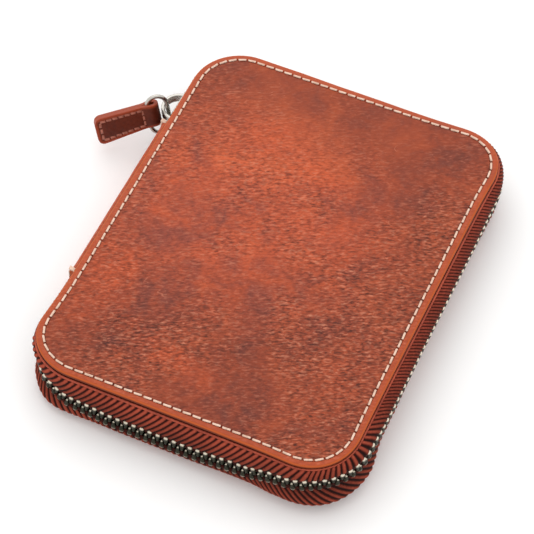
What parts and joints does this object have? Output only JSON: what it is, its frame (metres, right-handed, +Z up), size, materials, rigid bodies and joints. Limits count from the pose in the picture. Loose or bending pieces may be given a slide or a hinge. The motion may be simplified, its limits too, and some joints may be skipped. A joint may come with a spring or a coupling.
{
  "type": "zippered pouch",
  "caption": "Zip-around leather pouch with padded covers that open flat on a folding spine, inner pockets and a zipper slider with a leather pull.",
  "frame": {"origin": "centre of the back cover's outer face, on the surface that the closed case lies on", "axes": "+Z up through the closed case, +Y along the spine towards the slider's end, +X from the spine to the opening edge"},
  "size_m": [0.1322, 0.144, 0.02],
  "materials": {
    "cover_leather": "waxed pull-up leather, mottled red-brown, orange where it is stretched",
    "pocket_leather": "smooth waxed leather",
    "lining": "thin matt lining leather",
    "stiffener_board": "plain board",
    "zipper_tape": "ribbed woven tape, dark red-brown",
    "antique_metal": "antiqued, dark with bright high spots",
    "nickel": "polished nickel plate",
    "cream_thread": "waxed thread",
    "brown_thread": "waxed thread",
    "pull_leather": "waxed leather with burnished edges"
  },
  "bodies": {
    "back_half": {"back_cover": "cover_leather", "back_stiffener": "stiffener_board", "back_lining": "lining", "back_tape": "zipper_tape", "back_teeth": "antique_metal", "back_stitches": "cream_thread", "slip_pocket": "pocket_leather", "slip_pocket_stitches": "cream_thread"},
    "spine": {"spine_strip": "cover_leather", "spine_lining": "lining", "spine_tapes": "zipper_tape", "spine_teeth": "antique_metal", "bar_tacks": "cream_thread", "top_stops": "antique_metal", "bottom_stop": "antique_metal"},
    "front_half": {"front_cover": "cover_leather", "front_stiffener": "stiffener_board", "front_lining": "lining", "front_tape": "zipper_tape", "front_teeth": "antique_metal", "front_stitches": "cream_thread", "card_pocket_deep": "pocket_leather", "card_pocket_short": "pocket_leather", "card_pocket_stitches": "cream_thread"},
    "slider": {"slider_body": "nickel", "slider_crown": "nickel"},
    "pull_ring": {"pull_ring": "nickel"},
    "pull_tab": {"tab_leather": "pull_leather", "tab_stitches": "brown_thread"}
  },
  "joints": [
    {"name": "spine_fold", "type": "hinge", "parent": "back_half", "child": "spine", "pos_m": [-0.0535, 0, 0.0008], "axis": [0, -1, 0], "range_deg": [0, 90]},
    {"name": "front_fold", "type": "hinge", "parent": "spine", "child": "front_half", "pos_m": [-0.0535, 0, 0.0192], "axis": [0, -1, 0], "range_deg": [0, 90]},
    {"name": "slider_travel", "type": "slide", "parent": "spine", "child": "slider", "axis": [0, 1, 0], "range_m": [-0.0045, 0.0015]},
    {"name": "ring_swing", "type": "hinge", "parent": "slider", "child": "pull_ring", "pos_m": [-0.05475, 0.045, 0.01], "axis": [0, 0, 1], "range_deg": [-75, 8]},
    {"name": "tab_swing", "type": "hinge", "parent": "pull_ring", "child": "pull_tab", "pos_m": [-0.06261, 0.03847, 0.00934], "axis": [-0.2688, 0.1785, 0.9465], "range_deg": [-35, 35]}
  ],
  "couplings": [
    {"joint": "front_fold", "follows": "spine_fold", "ratio": 1}
  ]
}
